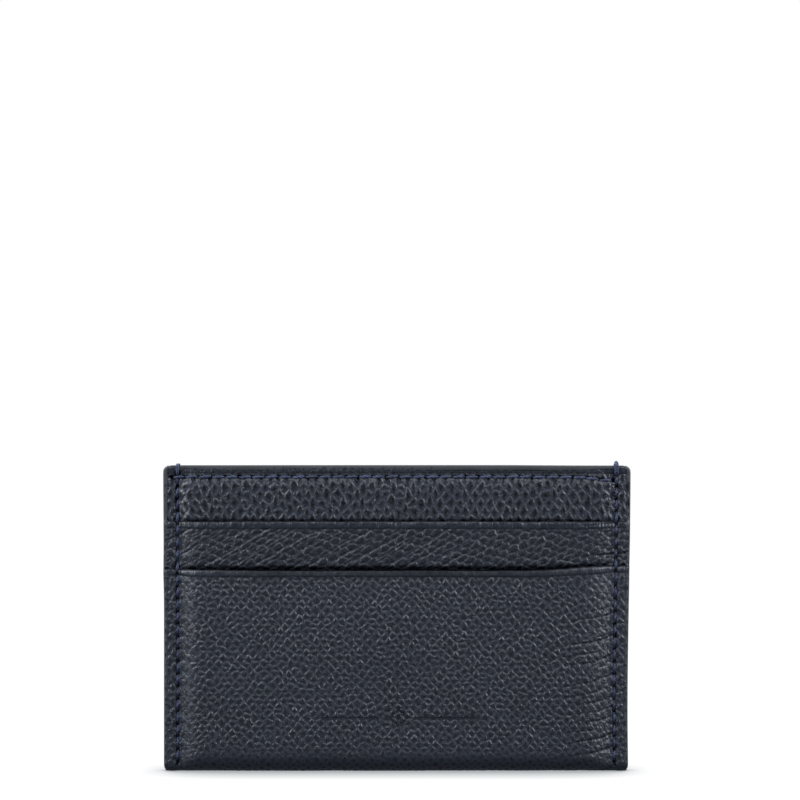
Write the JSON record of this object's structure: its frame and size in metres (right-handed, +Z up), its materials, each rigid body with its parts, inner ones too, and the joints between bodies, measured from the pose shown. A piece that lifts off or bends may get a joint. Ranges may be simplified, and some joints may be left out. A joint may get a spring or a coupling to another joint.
{
  "type": "card holder",
  "caption": "Slim sewn leather card holder with stepped card slots on both faces, a centre pocket and painted edges; stands on its bottom fold.",
  "frame": {"origin": "middle of the flat strip under the bottom fold, on the surface that the holder stands on", "axes": "+X across the width, -Y out of the front face, +Z up towards the pocket mouths"},
  "size_m": [0.105, 0.0084, 0.0689],
  "materials": {
    "outer_leather": "pebbled, satin",
    "pocket_leather": "pebbled, satin",
    "lining": "fine weave, matt",
    "board": "bonded fibre board, matt",
    "thread": "twisted polyester, soft sheen",
    "edge_paint": "smooth edge coating, satin"
  },
  "bodies": {
    "root": {"outer_panel": "outer_leather", "front_outer_lining": "lining", "back_outer_lining": "lining", "front_upper_pocket": "pocket_leather", "back_upper_pocket": "pocket_leather", "front_pocket_bag": "lining", "back_pocket_bag": "lining", "front_body_panel": "pocket_leather", "back_body_panel": "pocket_leather", "front_board": "board", "back_board": "board", "centre_lining": "lining", "left_needle_thread": "thread", "left_bobbin_thread": "thread", "right_needle_thread": "thread", "right_bobbin_thread": "thread", "front_top_needle_thread": "thread", "front_top_bobbin_thread": "thread", "back_top_needle_thread": "thread", "back_top_bobbin_thread": "thread", "front_base_needle_thread": "thread", "front_base_bobbin_thread": "thread", "back_base_needle_thread": "thread", "back_base_bobbin_thread": "thread", "left_edge_paint": "edge_paint", "right_edge_paint": "edge_paint", "front_top_edge_paint": "edge_paint", "back_top_edge_paint": "edge_paint"}
  },
  "joints": []
}
